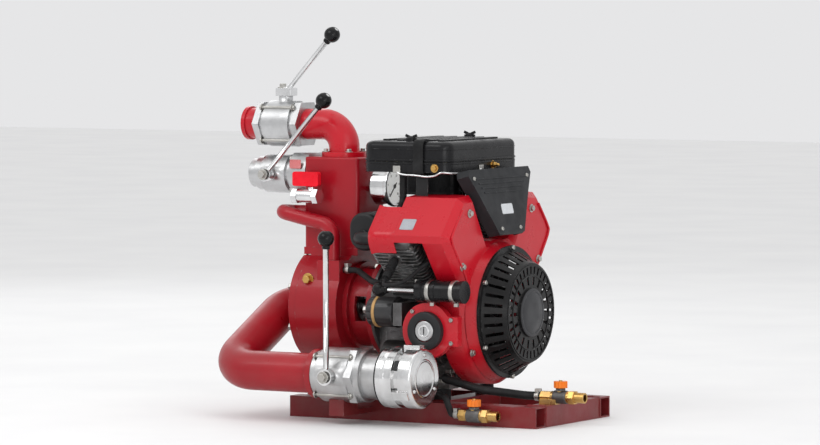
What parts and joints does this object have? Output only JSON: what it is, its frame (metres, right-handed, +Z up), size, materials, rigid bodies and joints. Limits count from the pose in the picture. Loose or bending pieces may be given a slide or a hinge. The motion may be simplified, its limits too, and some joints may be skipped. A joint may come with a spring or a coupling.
{
  "type": "portable fire pump",
  "caption": "Engine-driven centrifugal fire pump on a tube skid, with a V-twin engine, suction valve and cap, discharge column, lever valves and pressure gauge.",
  "frame": {"origin": "middle of the four skid bolt holes, on the underside of the skid rails", "axes": "+X along the crankshaft towards the cooling fan, -Y the operator's side, +Z up"},
  "size_m": [0.782, 0.5325, 0.7501],
  "materials": {
    "red_paint": "gloss enamel",
    "dark_red_paint": "semi-gloss enamel",
    "black_paint": "satin",
    "dark_grey_paint": "satin",
    "cast_aluminium": "as cast",
    "polished_aluminium": "polished",
    "chrome": "polished",
    "steel": "zinc plated",
    "cast_iron": "as cast",
    "bronze": "machined",
    "rubber": "matt",
    "black_plastic": "fine grain",
    "orange_plastic": "moulded",
    "red_plastic": "dipped",
    "filter_media": "pleated paper"
  },
  "bodies": {
    "pump_set": {"skid_rails": "dark_red_paint", "skid_crossbars": "dark_red_paint", "isolators": "rubber", "crankcase": "cast_aluminium", "pto_cover": "cast_aluminium", "main_bearings": "steel", "cylinders": "cast_aluminium", "cylinder_heads": "cast_aluminium", "rocker_covers": "black_paint", "spark_plugs": "rubber", "plug_leads": "rubber", "fan_shroud": "red_paint", "fan_guard": "black_plastic", "front_cover": "black_plastic", "intake_manifold": "cast_aluminium", "carburettor": "cast_aluminium", "air_cleaner_base": "black_plastic", "air_filter": "filter_media", "muffler": "black_paint", "starter_motor": "black_paint", "oil_filter": "dark_grey_paint", "control_housing": "red_paint", "primer_barrel": "black_plastic", "rubber_hoses": "rubber", "bell_adapter": "dark_red_paint", "pump_volute": "dark_red_paint", "suction_cover": "dark_red_paint", "shaft_seal": "steel", "discharge_column": "red_paint", "discharge_pipes": "red_paint", "discharge_valve": "polished_aluminium", "tank_valve": "polished_aluminium", "bypass_pipe": "red_paint", "bypass_cock": "chrome", "gauge_case": "chrome", "suction_pipe": "dark_grey_paint", "suction_valve": "polished_aluminium", "drain_valves": "steel", "fasteners": "steel"},
    "rotor": {"crankshaft": "steel", "flywheel_fan": "cast_iron", "impeller": "bronze"},
    "near_piston": {"piston_near": "cast_aluminium"},
    "far_piston": {"piston_far": "cast_aluminium"},
    "discharge_handle": {"discharge_lever": "chrome", "discharge_ball": "chrome"},
    "tank_handle": {"tank_lever": "chrome", "tank_ball": "chrome"},
    "suction_handle": {"suction_lever": "chrome", "suction_ball": "chrome"},
    "bypass_handle": {"bypass_lever": "red_plastic"},
    "throttle": {"throttle_lever": "steel"},
    "switch": {"ignition_switch": "steel"},
    "primer_pull": {"primer_plunger": "chrome"},
    "needle": {"gauge_needle": "black_plastic"},
    "pump_drain_knob": {"drain_knob_pump": "orange_plastic"},
    "engine_drain_knob": {"drain_knob_engine": "orange_plastic"},
    "cleaner_lid": {"air_cleaner_lid": "black_plastic"},
    "dipstick_body": {"dipstick": "black_plastic"},
    "inlet_cap": {"suction_cap": "chrome"}
  },
  "joints": [
    {"name": "crank_spin", "type": "hinge", "parent": "pump_set", "child": "rotor", "pos_m": [0, 0, 0.207], "axis": [1, 0, 0], "continuous": true},
    {"name": "piston_near_slide", "type": "slide", "parent": "pump_set", "child": "near_piston", "axis": [0, -0.7071, 0.7071], "range_m": [-0.036, 0.036]},
    {"name": "piston_far_slide", "type": "slide", "parent": "pump_set", "child": "far_piston", "axis": [0, 0.7071, 0.7071], "range_m": [-0.036, 0.036]},
    {"name": "discharge_lever_turn", "type": "hinge", "parent": "pump_set", "child": "discharge_handle", "pos_m": [-0.37, 0, 0.56], "axis": [0, 0, 1], "range_deg": [0, 90]},
    {"name": "tank_lever_turn", "type": "hinge", "parent": "pump_set", "child": "tank_handle", "pos_m": [-0.38, 0, 0.462], "axis": [0, -1, 0], "range_deg": [0, 90]},
    {"name": "suction_lever_turn", "type": "hinge", "parent": "pump_set", "child": "suction_handle", "pos_m": [-0.102, -0.23, 0.093], "axis": [0, -1, 0], "range_deg": [0, 90]},
    {"name": "bypass_lever_turn", "type": "hinge", "parent": "pump_set", "child": "bypass_handle", "pos_m": [-0.262, -0.082, 0.423], "axis": [0, 0, 1], "range_deg": [0, 90]},
    {"name": "throttle_turn", "type": "hinge", "parent": "pump_set", "child": "throttle", "pos_m": [-0.036, 0, 0.444], "axis": [1, 0, 0], "range_deg": [0, 40]},
    {"name": "ignition_switch_turn", "type": "hinge", "parent": "pump_set", "child": "switch", "pos_m": [0.045, -0.168, 0.178], "axis": [0, -1, 0], "range_deg": [0, 90]},
    {"name": "primer_pull_slide", "type": "slide", "parent": "pump_set", "child": "primer_pull", "axis": [-1, 0, 0], "range_m": [0, 0.06]},
    {"name": "gauge_needle_turn", "type": "hinge", "parent": "pump_set", "child": "needle", "pos_m": [-0.1224, 0, 0.442], "axis": [-1, 0, 0], "range_deg": [0, 270]},
    {"name": "pump_drain_turn", "type": "hinge", "parent": "pump_set", "child": "pump_drain_knob", "pos_m": [0.15, -0.172, 0.045], "axis": [0, 0, 1], "range_deg": [0, 90]},
    {"name": "engine_drain_turn", "type": "hinge", "parent": "pump_set", "child": "engine_drain_knob", "pos_m": [0.275, -0.06, 0.077], "axis": [0, 0, 1], "range_deg": [0, 90]},
    {"name": "cleaner_lid_lift", "type": "slide", "parent": "pump_set", "child": "cleaner_lid", "axis": [0, 0, 1], "range_m": [0, 0.06]},
    {"name": "dipstick_pull", "type": "slide", "parent": "pump_set", "child": "dipstick_body", "axis": [0, 0.6018, 0.7986], "range_m": [0, 0.11]},
    {"name": "cap_pull", "type": "slide", "parent": "pump_set", "child": "inlet_cap", "axis": [1, 0, 0], "range_m": [0, 0.06]}
  ]
}
